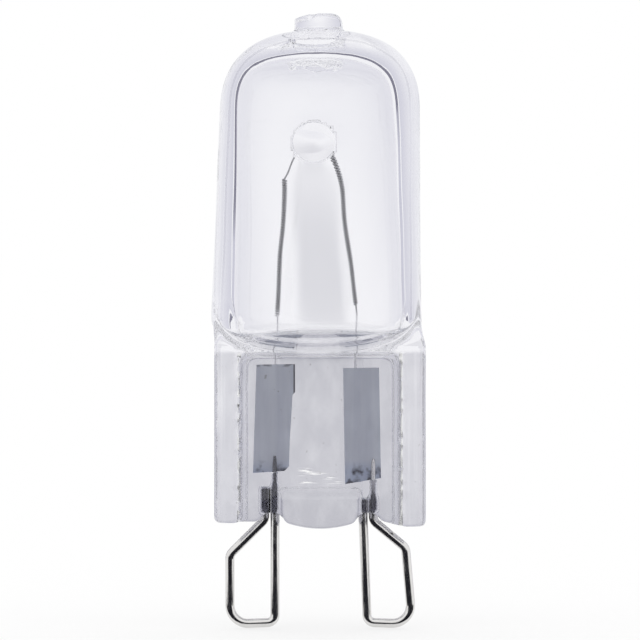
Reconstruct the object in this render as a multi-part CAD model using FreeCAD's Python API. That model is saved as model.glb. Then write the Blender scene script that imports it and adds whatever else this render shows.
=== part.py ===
import FreeCAD, Part
import math
import os

# Halogen capsule bulb, millimetres, upright with its wire loops down.
# The origin is on the seating plane of the pinch, midway between the loops.
# X runs across the loops and Y through the flat of the pinch, with the front at -Y.

# Contact loops
LOOP_SPACING = 9.0
LOOP_WIDTH = 3.0
LOOP_DROP = 6.88
LOOP_BOTTOM_TILT = 0.12
LOOP_INNER_RADIUS = 0.5
LOOP_OUTER_RADIUS = 1.2
KNEE_RADIUS = 0.6
LEFT_KNEE_DROP = 2.25
RIGHT_KNEE_DROP = 1.8
RIGHT_KNEE_INSET = 0.45
RIGHT_LEG_LEAN = 0.28
WIRE_DIAMETER = 0.62
WIRE_GAP = 0.06
WIRE_CLEARANCE = 0.02
LEAD_DIAMETER = 0.3
LEAD_TAPER = 0.5
LEFT_STUMP_HEIGHT = 2.2
RIGHT_STUMP_HEIGHT = 1.45
LEAD_OVERLAP = 1.1

# Sealing foils
FOIL_WIDTH = 2.45
FOIL_THICKNESS = 0.04
LEFT_FOIL_LENGTH = 7.2
RIGHT_FOIL_LENGTH = 7.5
LEFT_FOIL_X = -2.97
RIGHT_FOIL_X = 2.73
LEFT_FOIL_TOP = 10.43
RIGHT_FOIL_TOP = 10.2
LEFT_FOIL_LEAN = -1.4
RIGHT_FOIL_LEAN = 1.0
FOIL_TEAR = 0.17
FOIL_CLIP = 0.3
FOIL_SKEW = 0.35

# Pinch
PINCH_WIDTH = 14.0
PINCH_DEPTH = 6.0
PINCH_HEIGHT = 11.3
PINCH_ROUNDING = 0.5
FLANGE_WIDTH = 1.65
FLANGE_RISE = 2.0
WEB_THICKNESS = 2.6
RECESS_DRAFT = 0.2
RECESS_CORNER = 0.7
FOOT_CHAMFER = 0.45
RIGHT_FOOT_DROP = 0.3
WIRE_NOTCH = 0.5
TONGUE_WIDTH = 5.1
TONGUE_DROP = 0.47
TONGUE_THICKNESS = 3.8
TONGUE_HEIGHT = 1.55
TONGUE_SLOPE = 0.75

# Tube and dome
TUBE_FOOT_DIAMETER = 13.9
TUBE_TOP_DIAMETER = 13.3
TUBE_LENGTH = 16.6
TUBE_SHIFT = -0.2
TUBE_LEAN = 1.0
TUBE_WALL = 1.4
SHOULDER_RADIUS = 3.0
DOME_HEIGHT = 4.65
DOME_INSET = 1.3
DOME_RADIUS = 4.2
CROWN_WALL = 1.55
CEILING_RADIUS = 3.0
CAVITY_SHIFT = -0.15
FLOOR_THICKNESS = 1.3
FLOOR_RADIUS = 1.2

# Exhaust stub
STUB_DIAMETER = 3.2
STUB_HEIGHT = 1.25
STUB_SHIFT = -0.15
STUB_BEVEL = 0.5
STUB_NIP = 0.7
BORE_DIAMETER = 2.1
BORE_LIP = 0.55
LIP_WALL = 0.5

# Post across the gas space, with a dent in the tube outside each end
POST_DIAMETER = 2.7
POST_FLARE = 0.45
POST_FILLET = 1.6
POST_X = -0.37
POST_DROP = 7.4
DENT_MOUTH = 3.4
DENT_BOTTOM = 1.6
DENT_DEPTH = 0.8

# Filament
COIL_DIAMETER = 0.34
COIL_GROOVE = 0.22
COIL_PITCH = 0.14
STRAND_DIAMETER = 0.12
TAIL_OVERLAP = 1.0
TAIL_CLEARANCE = 0.01
POST_CLEARANCE = 0.01
LEFT_COIL_LIFT = 0.95
RIGHT_COIL_LIFT = 1.8
RIGHT_TAIL_INSET = 0.4
COIL_BOW = 0.12

# How finely round forms are drawn
WIRE_SIDES = 10
STRAND_SIDES = 5
POST_SIDES = 12
BEND_STEPS = 3
OUTSIDE_STEPS = 3
INSIDE_STEPS = 2
BRIDGE_STEPS = 8

WIRE_RADIUS = WIRE_DIAMETER / 2
LEAD_RADIUS = LEAD_DIAMETER / 2
STRAND_RADIUS = STRAND_DIAMETER / 2
POST_RADIUS = POST_DIAMETER / 2
BORE_RADIUS = BORE_DIAMETER / 2
WEB_HALF_WIDTH = PINCH_WIDTH / 2 - FLANGE_WIDTH
FOIL_FRONT = LEAD_RADIUS * math.cos(math.pi / WIRE_SIDES)
FOIL_BACK = FOIL_FRONT + FOIL_THICKNESS
TAIL_DEPTH = FOIL_BACK + STRAND_RADIUS * math.cos(math.pi / STRAND_SIDES)
DOME_START = PINCH_HEIGHT + TUBE_LENGTH
CROWN = DOME_START + DOME_HEIGHT
CEILING = CROWN - CROWN_WALL
FLOOR = PINCH_HEIGHT + FLOOR_THICKNESS
POST_Z = CROWN - POST_DROP
REACH = 2 * PINCH_WIDTH


def vector(x, y, z):
    return FreeCAD.Vector(x, y, z)


def face_of(corners):
    """Flat face with straight edges through the given corners."""
    return Part.Face(Part.makePolygon(corners + corners[:1]))


def corner_arc(before, corner, after, radius):
    """Start, middle and end of the arc that rounds a corner between two runs."""
    back = (before - corner).normalize()
    ahead = (after - corner).normalize()
    half = back.getAngle(ahead) / 2
    setback = radius / math.tan(half)
    inward = (back + ahead).normalize()
    nearest = corner + inward * (radius / math.sin(half) - radius)
    return corner + back * setback, nearest, corner + ahead * setback


def rounded_outline(points, radii):
    """Closed outline of straight runs, with a tangent arc at each corner that has a radius."""
    count = len(points)
    edges = []
    starts = []
    ends = []
    for index, point in enumerate(points):
        if radii[index] > 0:
            start, middle, end = corner_arc(points[index - 1], point, points[(index + 1) % count], radii[index])
            edges.append(Part.Arc(start, middle, end).toShape())
        else:
            start = end = point
        starts.append(start)
        ends.append(end)
    for index in range(count):
        edges.append(Part.makeLine(ends[index], starts[(index + 1) % count]))
    return Part.Wire(Part.__sortEdges__(edges))


def front_outline(points, radii, y):
    """Closed outline in the front view, from (x, z) points, at depth y."""
    return rounded_outline([vector(x, y, z) for x, z in points], radii)


def turned(points, radii, steps):
    """Solid turned about Z from a half section of (radius, z) points, its rounded corners in short steps."""
    places = bent_places([vector(radius, 0, z) for radius, z in points], radii, steps)
    return face_of(places).revolve(vector(0, 0, 0), vector(0, 0, 1), 360)


def stood_on_tube(shape, shift):
    """Leans a turned shape with the tube and moves it aside."""
    shape.rotate(vector(0, 0, PINCH_HEIGHT), vector(0, 1, 0), TUBE_LEAN)
    shape.translate(vector(TUBE_SHIFT + shift, 0, 0))
    return shape


def tube_center(z):
    return TUBE_SHIFT + math.tan(math.radians(TUBE_LEAN)) * (z - PINCH_HEIGHT)


def tube_body():
    """Outside of the tube with its round shoulder below and soft-cornered dome above."""
    top = TUBE_TOP_DIAMETER / 2
    points = [
        (0, PINCH_HEIGHT),
        (TUBE_FOOT_DIAMETER / 2, PINCH_HEIGHT),
        (top, DOME_START),
        (top - DOME_INSET, CROWN),
        (0, CROWN),
    ]
    radii = [0, SHOULDER_RADIUS, 0, DOME_RADIUS, 0]
    return stood_on_tube(turned(points, radii, OUTSIDE_STEPS), 0)


def gas_space():
    """Inside of the tube, with its round-cornered floor and ceiling."""
    points = [
        (0, FLOOR),
        (TUBE_FOOT_DIAMETER / 2 - TUBE_WALL, FLOOR),
        (TUBE_TOP_DIAMETER / 2 - TUBE_WALL, CEILING),
        (0, CEILING),
    ]
    return stood_on_tube(turned(points, [0, FLOOR_RADIUS, CEILING_RADIUS, 0], INSIDE_STEPS), CAVITY_SHIFT)


def stub_place():
    return tube_center(CROWN) + STUB_SHIFT


def exhaust_stub():
    """Short melted end of the exhaust tube, nipped lower on its left side."""
    radius = STUB_DIAMETER / 2
    root = CROWN - CROWN_WALL / 2
    top = CROWN + STUB_HEIGHT
    points = [(0, root), (radius, root), (radius, top - STUB_BEVEL), (radius - STUB_BEVEL, top), (0, top)]
    stub = turned(points, [0] * len(points), 1)
    nip = Part.Face(front_outline([(-radius, top - STUB_NIP), (0, top), (-radius, top)], [0] * 3, -radius))
    stub = stub.cut(nip.extrude(vector(0, STUB_DIAMETER, 0)))
    stub.translate(vector(stub_place(), 0, 0))
    return stub


def exhaust_bore():
    """What is left of the bore inside the stub, closed to a cone by the flame."""
    height = CEILING - BORE_LIP
    points = [(0, height), (BORE_RADIUS, height), (BORE_RADIUS, CROWN), (0, CROWN + STUB_HEIGHT / 2)]
    bore = turned(points, [0] * len(points), 1)
    bore.translate(vector(stub_place(), 0, 0))
    return bore


def bore_lip():
    """Rim of the exhaust tube that stands into the gas space."""
    return Part.makeCylinder(BORE_RADIUS + LIP_WALL, CROWN_WALL, vector(stub_place(), 0, CEILING - BORE_LIP))


def post_ring(depth, radius):
    """Corners of a ring round the post's middle line, which runs along Y."""
    corners = []
    for step in range(POST_SIDES):
        angle = math.pi * (2 * step + 1) / POST_SIDES
        corners.append(vector(POST_X + radius * math.cos(angle), depth, POST_Z + radius * math.sin(angle)))
    return corners


def post():
    """Round bar from wall to wall that opens a little where it runs into them."""
    wall = TUBE_TOP_DIAMETER / 2
    straight = wall - TUBE_WALL - POST_FILLET
    stations = ((-wall, POST_FLARE), (-straight, 0), (straight, 0), (wall, POST_FLARE))
    return flat_sided([post_ring(depth, POST_RADIUS + flare) for depth, flare in stations])


def dent(side):
    """Shallow hollow outside the front (-1) or back (1) end of the post."""
    outside = side * TUBE_FOOT_DIAMETER / 2
    bottom = side * (TUBE_TOP_DIAMETER / 2 - DENT_DEPTH)
    return flat_sided([post_ring(outside, DENT_MOUTH / 2), post_ring(bottom, DENT_BOTTOM / 2)])


def cavity():
    """The gas space round the post and the bore's lip, with the bore itself."""
    space = gas_space().cut([post(), bore_lip()])
    return space.fuse(exhaust_bore())


def pinch_front():
    """Front view of the pinch: sloped flange tops, chamfered feet, wire notches and round tongue."""
    half = PINCH_WIDTH / 2
    web = WEB_HALF_WIDTH
    tongue = TONGUE_WIDTH / 2
    notch = tongue + 2 * WIRE_DIAMETER + WIRE_GAP
    right_foot = -RIGHT_FOOT_DROP
    right = [
        (tongue, WIRE_NOTCH),
        (notch, WIRE_NOTCH),
        (web - RECESS_DRAFT, 0),
        (half - FOOT_CHAMFER, right_foot),
        (half, right_foot + FOOT_CHAMFER),
        (half, PINCH_HEIGHT + FLANGE_RISE),
        (web, PINCH_HEIGHT),
    ]
    left = [
        (-web, PINCH_HEIGHT),
        (-half, PINCH_HEIGHT + FLANGE_RISE),
        (-half, FOOT_CHAMFER),
        (-half + FOOT_CHAMFER, 0),
        (-web + RECESS_DRAFT, 0),
        (-notch, WIRE_NOTCH),
        (-tongue, WIRE_NOTCH),
    ]
    corners = [vector(x, 0, z) for x, z in right + left]
    tongue_arc = Part.Arc(corners[-1], vector(0, 0, -TONGUE_DROP), corners[0]).toShape()
    return Part.Wire(Part.makePolygon(corners).Edges + [tongue_arc])


def pinch_block():
    """Solid pinch before its recesses: a rounded bar cut to the front view, plus the tongue's pad."""
    half = PINCH_WIDTH / 2
    deep = PINCH_DEPTH / 2
    low = -LOOP_DROP
    corners = [vector(-half, -deep, low), vector(half, -deep, low), vector(half, deep, low), vector(-half, deep, low)]
    bar = Part.Face(rounded_outline(corners, [PINCH_ROUNDING] * 4)).extrude(vector(0, 0, REACH))
    return bar.cut([recess(-1), recess(1)]).fuse(tongue_pad()).common(front_prism())


def front_prism():
    front = Part.Face(pinch_front())
    front.translate(vector(0, -REACH / 2, 0))
    return front.extrude(vector(0, REACH, 0))


def recess(side):
    """Drafted pocket in the front (-1) or back (1) that leaves the web between the flanges."""
    wires = []
    for depth, draft in ((WEB_THICKNESS / 2, RECESS_DRAFT), (PINCH_DEPTH / 2, 0)):
        half = WEB_HALF_WIDTH - draft
        top = PINCH_HEIGHT - draft
        points = [(-half, -LOOP_DROP), (half, -LOOP_DROP), (half, top), (-half, top)]
        wires.append(front_outline(points, [0, 0, RECESS_CORNER, RECESS_CORNER], side * depth))
    return Part.makeLoft(wires, True, True)


def tongue_pad():
    """Thicker glass squeezed out between the wires at the foot of the web."""
    thick = TONGUE_THICKNESS / 2
    web = WEB_THICKNESS / 2
    half = TONGUE_WIDTH / 2
    slope_top = TONGUE_HEIGHT + TONGUE_SLOPE
    side = [(-thick, -LOOP_DROP), (-thick, TONGUE_HEIGHT), (-web, slope_top),
            (web, slope_top), (thick, TONGUE_HEIGHT), (thick, -LOOP_DROP)]
    corners = [vector(-half, y, z) for y, z in side]
    return face_of(corners).extrude(vector(TONGUE_WIDTH, 0, 0))


def foil_outline(length, torn):
    """Foil outline about its top middle; the torn one has a stepped edge and a clipped corner."""
    half = FOIL_WIDTH / 2
    torn_half = half - FOIL_TEAR
    step = length / 4
    if torn:
        return [(-half, 0), (half, 0), (half, -step), (torn_half, -step - FOIL_TEAR),
                (torn_half, -length + FOIL_CLIP), (torn_half - FOIL_CLIP, -length), (-half, -length)]
    return [(-half, 0), (half, 0), (half, -length + FOIL_SKEW), (-half, -length)]


def foil(middle_x, top, length, lean, torn):
    corners = [vector(x, FOIL_FRONT, z) for x, z in foil_outline(length, torn)]
    sheet = face_of(corners).extrude(vector(0, FOIL_THICKNESS, 0))
    sheet.rotate(vector(0, 0, 0), vector(0, 1, 0), -lean)
    sheet.translate(vector(middle_x, 0, top))
    return sheet


def bent_places(points, radii, steps):
    """Places along a bent run: its two ends, and short steps round each corner that has a radius."""
    places = [points[0]]
    for index in range(1, len(points) - 1):
        if radii[index] > 0:
            arc = Part.Arc(*corner_arc(points[index - 1], points[index], points[index + 1], radii[index]))
            places += arc.toShape().discretize(Number=steps + 1)
        else:
            places.append(points[index])
    return places + [points[-1]]


def flat_sided(rings):
    """Solid with flat sides between matching corners of one ring and the next."""
    faces = [face_of(rings[0]), face_of(rings[-1])]
    for near, far in zip(rings, rings[1:]):
        for step in range(len(near)):
            faces.append(face_of([near[step - 1], near[step], far[step], far[step - 1]]))
    return Part.Solid(Part.Shell(faces))


def wire_ring(place, heading, reach, radius, sides):
    """Corners of a ring square to its heading, reach wide in the bend's plane, with a flat in front."""
    side = heading.cross(vector(0, 1, 0)).normalize()
    up = side.cross(heading).normalize()
    corners = []
    for step in range(sides):
        angle = math.pi * (2 * step + 1) / sides - math.pi / 2
        corners.append(place + side * (reach * math.cos(angle)) + up * (radius * math.sin(angle)))
    return corners


def wire_rings(places, radii, sides):
    """Rings at the given places along a wire, each mitred between the runs that meet there."""
    runs = [(far - near).normalize() for near, far in zip(places, places[1:])]
    rings = []
    for place, radius, behind, ahead in zip(places, radii, runs[:1] + runs, runs + runs[-1:]):
        heading = (behind + ahead).normalize()
        rings.append(wire_ring(place, heading, radius / heading.dot(ahead), radius, sides))
    return rings


def left_loop_places():
    """Thin lead on the foil, inner leg, bottom, outer leg, and the run back up to a stump beside the lead."""
    inner = -(LOOP_SPACING - LOOP_WIDTH) / 2
    outer = inner - LOOP_WIDTH
    stump = inner - WIRE_DIAMETER - WIRE_GAP
    lead_top = LEFT_FOIL_TOP - LEFT_FOIL_LENGTH + LEAD_OVERLAP
    points = [
        vector(inner, 0, lead_top),
        vector(inner, 0, LEFT_STUMP_HEIGHT + LEAD_TAPER),
        vector(inner, 0, LEFT_STUMP_HEIGHT),
        vector(inner, 0, -LOOP_DROP + LOOP_BOTTOM_TILT),
        vector(outer, 0, -LOOP_DROP),
        vector(outer, 0, -LEFT_KNEE_DROP),
        vector(stump, 0, -LEFT_KNEE_DROP + stump - outer),
        vector(stump, 0, LEFT_STUMP_HEIGHT),
    ]
    radii = [0, 0, 0, LOOP_INNER_RADIUS, LOOP_OUTER_RADIUS, KNEE_RADIUS, KNEE_RADIUS, 0]
    return bent_places(points, radii, BEND_STEPS)


def right_loop_places():
    """As the left loop, but here the outer run goes on to the foil and the inner leg ends in the glass."""
    inner = (LOOP_SPACING - LOOP_WIDTH) / 2 + RIGHT_LEG_LEAN / 2
    outer = inner + LOOP_WIDTH
    stump = inner - RIGHT_LEG_LEAN
    lead = stump + WIRE_DIAMETER + WIRE_GAP
    lead_top = RIGHT_FOIL_TOP - RIGHT_FOIL_LENGTH + FOIL_SKEW + LEAD_OVERLAP
    points = [
        vector(lead, 0, lead_top),
        vector(lead, 0, RIGHT_STUMP_HEIGHT + LEAD_TAPER),
        vector(lead, 0, RIGHT_STUMP_HEIGHT),
        vector(lead, 0, 0),
        vector(outer - RIGHT_KNEE_INSET, 0, -RIGHT_KNEE_DROP),
        vector(outer, 0, -LOOP_DROP),
        vector(inner, 0, -LOOP_DROP + LOOP_BOTTOM_TILT),
        vector(stump, 0, WIRE_NOTCH),
        vector(stump, 0, RIGHT_STUMP_HEIGHT),
    ]
    radii = [0, 0, 0, KNEE_RADIUS, KNEE_RADIUS, LOOP_OUTER_RADIUS, LOOP_INNER_RADIUS, KNEE_RADIUS, 0]
    return bent_places(points, radii, BEND_STEPS)


def loop_wire(places, clearance):
    """Wire along the places, thin over the first two, on the foil, and opened out by a clearance."""
    radii = [LEAD_RADIUS + clearance] * 2 + [WIRE_RADIUS + clearance] * (len(places) - 2)
    return flat_sided(wire_rings(places, radii, WIRE_SIDES))


def tail_x(side):
    """Where a tail runs down: behind the middle of the left foil, and left of the middle of the right one."""
    return LEFT_FOIL_X if side < 0 else RIGHT_FOIL_X - RIGHT_TAIL_INSET


def tail(side):
    """Straight tail from its weld behind the foil up through the glass into the gas space."""
    foil_top = LEFT_FOIL_TOP if side < 0 else RIGHT_FOIL_TOP
    x = tail_x(side)
    return [vector(x, TAIL_DEPTH, foil_top - TAIL_OVERLAP), vector(x, TAIL_DEPTH, FLOOR + 2 * STRAND_DIAMETER)]


def coil(start, end, bow):
    """Places along a coiled leg, two to a turn, bowed in the middle by a share of its slant."""
    middle = (start + end) / 2 + vector((end - start).x * bow, 0, 0)
    arc = Part.Arc(start, middle, end).toShape()
    turns = round(arc.Length / COIL_PITCH)
    return arc.discretize(Number=2 * turns + 1)


def left_coil():
    foot = vector(tail_x(-1), 0, FLOOR + LEFT_COIL_LIFT)
    top = vector(POST_X - POST_RADIUS - 2 * COIL_DIAMETER, 0, POST_Z - POST_RADIUS - 3 * COIL_DIAMETER)
    return coil(foot, top, COIL_BOW)


def right_coil():
    top = vector(POST_X + POST_RADIUS + COIL_DIAMETER / 2 + POST_CLEARANCE, 0, POST_Z - POST_RADIUS / 2)
    foot = vector(tail_x(1), 0, FLOOR + RIGHT_COIL_LIFT)
    return coil(top, foot, -COIL_BOW)


def bridge():
    """Bare strand over the top of the post, from its left flank to its right."""
    flats = math.cos(math.pi / (2 * BRIDGE_STEPS))
    radius = (POST_RADIUS + STRAND_RADIUS + POST_CLEARANCE) / flats
    places = []
    for step in range(BRIDGE_STEPS + 1):
        angle = math.pi * (1 - step / BRIDGE_STEPS)
        places.append(vector(POST_X + radius * math.cos(angle), 0, POST_Z + radius * math.sin(angle)))
    return places


def filament():
    """One strand: left tail, left coil, bridge over the post, right coil, right tail."""
    runs = [(tail(-1), False), (left_coil(), True), (bridge(), False), (right_coil(), True), (tail(1)[::-1], False)]
    places = []
    radii = []
    for run, coiled in runs:
        for index, place in enumerate(run):
            ridge = COIL_DIAMETER if index % 2 else COIL_GROOVE
            places.append(place)
            radii.append((ridge if coiled else STRAND_DIAMETER) / 2)
    rings = [face_of(ring).OuterWire for ring in wire_rings(places, radii, STRAND_SIDES)]
    return Part.makeLoft(rings, True, True)


def tail_hole(side):
    places = tail(side)
    return flat_sided(wire_rings(places, [STRAND_RADIUS + TAIL_CLEARANCE] * len(places), STRAND_SIDES))


def quartz_envelope(foils, loops):
    """Tube, stub and pinch in one piece, hollow, with room for everything sealed into it."""
    glass = tube_body().fuse([pinch_block(), exhaust_stub()])
    glass = glass.cut([dent(-1), dent(1)]).cut(cavity())
    sealed = [loop_wire(places, WIRE_CLEARANCE) for places in loops]
    return glass.cut(sealed + foils + [tail_hole(-1), tail_hole(1)]).removeSplitter()


def main():
    foil_left = foil(LEFT_FOIL_X, LEFT_FOIL_TOP, LEFT_FOIL_LENGTH, LEFT_FOIL_LEAN, True)
    foil_right = foil(RIGHT_FOIL_X, RIGHT_FOIL_TOP, RIGHT_FOIL_LENGTH, RIGHT_FOIL_LEAN, False)
    loops = [left_loop_places(), right_loop_places()]
    parts = {
        "quartz_envelope": quartz_envelope([foil_left, foil_right], loops),
        "filament": filament(),
        "foil_left": foil_left,
        "foil_right": foil_right,
        "contact_loop_left": loop_wire(loops[0], 0),
        "contact_loop_right": loop_wire(loops[1], 0),
    }
    os.makedirs("parts", exist_ok=True)
    for name, shape in parts.items():
        shape.exportStep("parts/" + name + ".step")


main()
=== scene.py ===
import functools
import itertools
import math

import bpy
import numpy as np
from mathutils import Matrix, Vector


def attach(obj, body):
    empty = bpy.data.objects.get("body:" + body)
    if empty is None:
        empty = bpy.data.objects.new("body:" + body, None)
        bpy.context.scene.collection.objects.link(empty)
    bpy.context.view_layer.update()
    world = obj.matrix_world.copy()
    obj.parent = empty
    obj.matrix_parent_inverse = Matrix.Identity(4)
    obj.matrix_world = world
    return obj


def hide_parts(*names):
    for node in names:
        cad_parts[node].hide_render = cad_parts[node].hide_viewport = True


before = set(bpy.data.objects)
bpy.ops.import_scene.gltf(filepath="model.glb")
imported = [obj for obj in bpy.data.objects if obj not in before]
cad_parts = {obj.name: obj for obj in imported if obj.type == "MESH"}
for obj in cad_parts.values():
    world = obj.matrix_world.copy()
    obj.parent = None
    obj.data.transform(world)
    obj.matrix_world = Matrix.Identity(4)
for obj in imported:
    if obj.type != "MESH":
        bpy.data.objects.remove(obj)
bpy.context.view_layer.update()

# Lengths are in millimetres, as in the part's source, until a mesh or a shader takes them.
MM = 0.001

# Camera and light
VIEW_WIDTH = 42.58
VIEW_MIDDLE = (0.0, 0.0, 13.37)
CAMERA_DISTANCE = 450.0
CAMERA_ELEVATION = 1.0
SENSOR_WIDTH = 36.0
CLIP_START = 10.0
BOUNCES = 64

# Studio floor
STUDIO_LEVEL = -7.2
STUDIO_SIZE = 6000.0
STUDIO_TONE = 0.4
STUDIO_GLOW = 0.6
STUDIO_ROUGHNESS = 0.9

# Cards, measured from the line of sight through the middle of the view
FRONT_CARD_HALF = 34.0
FRONT_CARD_AWAY = 30.0
FRONT_CARD_TOP = -13.4
FRONT_CARD_FOOT = -20.45
FRONT_CARD_NEAR = 0.45
ARCH_AWAY = 150.0
ARCH_STEPS = 120
LEG_HEIGHTS = (-30.0, -3.0)
LINE_ANGLES = (51.0, 56.5)
SWEEP_ANGLES = (6.0, 16.0, 30.0, 49.0)
LEFT_FADE = (0.0, 6.0)
RIGHT_FADE = (9.0, 25.0)
FADE_EDGE = 4.0
WINDOW_AWAY = 30.0
WINDOW_MIDDLE = (-0.3, 4.0)
WINDOW_HALVES = ((1.7, 1.5), (3.5, 10.5))
WINDOW_POWER = 0.5
WINDOW_RINGS = 7
WINDOW_STEPS = 24

# Grid on which the glass is found
CELL = 0.2
GRID_LOW = (-7.6, -7.6, -1.0)
GRID_HIGH = (7.6, 7.6, 34.4)
NORMAL_REACH = 0.01
DRAW_ROUNDS = 8
LEAST_SLOPE = 0.05
SKIN_DEPTH = 0.1

# Tube and gas space; an end is where its curve starts, its height and its power
LOWER_TUBE = 15.4
TUBE_RADIUS = 6.94
TUBE_TAPER = 0.024
TUBE_SHIFT = -0.22
TUBE_LEAN = 0.0177
TUBE_DOME = (27.3, 5.35, 2.5)
TUBE_BOWL = (13.7, 2.4, 2.4)
CAVITY_RADIUS = 5.62
CAVITY_TAPER = 0.032
CAVITY_SHIFT = -0.1
CAVITY_LEAN = -0.0088
CAVITY_CEILING = (27.0, 4.07, 3.0)
CAVITY_FLOOR = (13.75, 1.35, 3.2)
CAVITY_EDGE = 0.1
POST_X = -0.37
POST_Z = 25.15
POST_RADIUS = 1.35
POST_FILLET = 0.1
DENT_RADIUS = 1.25
DENT_DEPTH = 0.25
DENT_WALL = 2.0

# Exhaust stub and bore; a cut is a place in X and Z and a direction; a wave is its count, height and phase
STUB_X = -0.1
STUB_RADIUS = 1.6
STUB_TOP = 33.75
STUB_ROOT = 31.5
STUB_FILLET = 0.22
LEFT_STUB_CORNER = 0.35
RIGHT_STUB_CORNER = 0.9
NIP_CUT = (-1.73, 33.4, -0.27, 0.963)
NIP_EDGE = 0.12
GROOVE_CUT = (-0.33, 33.8, 0.87, -0.49)
GROOVE_DEPTH = 0.1
GROOVE_HALF = 0.12
GROOVE_HEIGHTS = (33.0, 33.5)
BORE_X = -0.2
BORE_RADIUS = 1.4
BORE_TOP = 32.4
BORE_CLOSING = 4.0
BORE_OVERLAP = 0.3
BORE_EDGE = 0.1
RIM_RADIUS = 1.8
RIM_LEVEL = 30.4
RIM_WAVES = ((3, 0.14, 1.0), (7, 0.12, 0.0))
RIM_EDGE = 0.12
RIM_FILLET = 0.3

# Pinch
PINCH_HALF = 7.0
PINCH_DEPTH = 3.0
PINCH_TOP = 11.3
PINCH_CORNER = 0.7
WEB_HALF = 5.2
WEB_DEPTH = 1.3
RECESS_TOP = 11.2
RECESS_DRAFT = 0.05
RECESS_CORNER = 1.0
RECESS_FILLET = 0.5
RECESS_EDGE = 0.2
SLAB_TOP = 14.6
SLAB_EDGE = 0.5
SHOULDER_START = 11.7
LEFT_SHOULDER_LEAN = 0.05
RIGHT_SHOULDER_LEAN = 0.25
SHOULDER_DEPTH_LEAN = 0.5
SMALL_FILLET = 0.5
LARGE_FILLET = 1.6
FILLET_REACH = (1.0, 2.8)
FILLET_HEIGHTS = (12.0, 13.6)
LEFT_FOOT = -0.02
RIGHT_FOOT = -0.28
FOOT_REACH = (4.0, 5.4)
FOOT_CORNER = 0.45
NOTCH_X = 3.2
NOTCH_HALF = 0.75
NOTCH_HEIGHT = 0.55
TONGUE_HALF = 2.55
TONGUE_DEPTH = 1.9
TONGUE_TOP = 1.55
TONGUE_SLOPE = 0.8
TONGUE_DROP = 0.45
TONGUE_CORNER = 0.25
TONGUE_FILLET = 0.35
CAPILLARY_GAP = 0.12
CAPILLARY_EDGE = 0.05

# Unevenness of the glass; a ripple is two waves, as rates along X, Y and Z and a phase, and a share
RIPPLE_DEPTH = 0.012
RIPPLES = (((0.9, 0.0, 0.35, 0.6), (0.0, 0.7, -0.23, 0.0), 1.0),
           ((1.7, 1.1, -0.5, 0.0), (0.0, 0.0, 0.41, 1.3), 0.6))
CHIP_DEPTH = 0.05
CHIP_X = 5.35
CHIP_HALF = 0.28
CHIP_REACH = (2.0, 2.8)
DASH_WAVE = (4.3, 1.4, 1.7, 0.0)
DASH_LIMITS = (0.1, 0.8)
RAGGED_WAVE = (5.7, 1.6, 2.3, 0.5)
RAGGED_SHARE = 0.55

# Wires and foils
WIRE_RADIUS = 0.31
WIRE_SIDES = 32
WIRE_STEP = 0.15
BEND_STEPS = 12
FIRST_SIDE = (0.3, 1.0, 0.2)
LEFT_LEAD_X = -3.0
LEFT_STUMP_X = -3.68
LEFT_LEAD_TOP = 4.33
LEFT_STUMP_TOP = 2.2
RIGHT_LEAD_X = 3.54
RIGHT_STUMP_X = 2.86
RIGHT_LEAD_TOP = 4.15
RIGHT_STUMP_TOP = 1.45
LEFT_FOIL_FOOT = 3.15
RIGHT_FOIL_FOOT = 2.65
LEAD_RADIUS = 0.15
LEAD_TAPER = 0.5
LEAD_TIP = 0.5
FOIL_FRONT = 0.15
FOIL_THICKNESS = 0.04

# Each sealed wire: its X, where it starts to thin and where its gap ends
SEALED_WIRES = ((LEFT_LEAD_X, LEFT_STUMP_TOP, LEFT_FOIL_FOOT),
                (LEFT_STUMP_X, LEFT_STUMP_TOP, LEFT_STUMP_TOP),
                (RIGHT_LEAD_X, RIGHT_STUMP_TOP, RIGHT_FOIL_FOOT),
                (RIGHT_STUMP_X, RIGHT_STUMP_TOP, RIGHT_STUMP_TOP))

# Filament
STRAND_RADIUS = 0.055
STRAND_SIDES = 8
COIL_RADIUS = 0.125
COIL_PITCH = 0.165
COIL_ENDS = (-0.3, 0.7)
TURN_STEPS = 16
TAIL_DEPTH = 0.24
BRIDGE_CLEARANCE = 0.08
BRIDGE_STEPS = 24
COIL_RUN_STEPS = 20
RUN_STEPS = 8
SHORT_RUN_STEPS = 6

# Colours
WHITE = (1.0, 1.0, 1.0)
BLACK = (0.0, 0.0, 0.0)
# Painted shade: the greys and lavender of the glass stand in for the shade that a darker studio throws
# into it.
TUBE_SHADE = (0.89, 0.89, 0.925)
FLANGE_SHADE = (0.64, 0.64, 0.69)
FLANGE_STREAK_SHADE = (0.84, 0.84, 0.88)
WEB_SHADE = (0.55, 0.55, 0.6)
SPECK_TINT = (0.2, 0.19, 0.18)
WIRE_DARK = (0.66, 0.65, 0.64)
WIRE_LIGHT = (0.84, 0.83, 0.82)
SEAL_BLACK = (0.14, 0.14, 0.16)
TUNGSTEN_DARK = (0.26, 0.26, 0.28)
TUNGSTEN_LIGHT = (0.48, 0.48, 0.5)
TAIL_PALE = (0.85, 0.85, 0.87)
FOIL_DARK = (0.78, 0.82, 0.92)
FOIL_LIGHT = (0.88, 0.92, 1.0)
FOIL_BLUE = (0.4, 0.5, 0.75)
FOIL_BURNT = (0.1, 0.1, 0.14)
FRONT_CARD_BLACK = (0.02, 0.02, 0.025)
LINE_DARK = (0.16, 0.155, 0.22)
LINE_FADED = (0.62, 0.62, 0.7)
SWEEP_GREY = (0.68, 0.68, 0.75)
WINDOW_GREY = (0.76, 0.76, 0.78)

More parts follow.
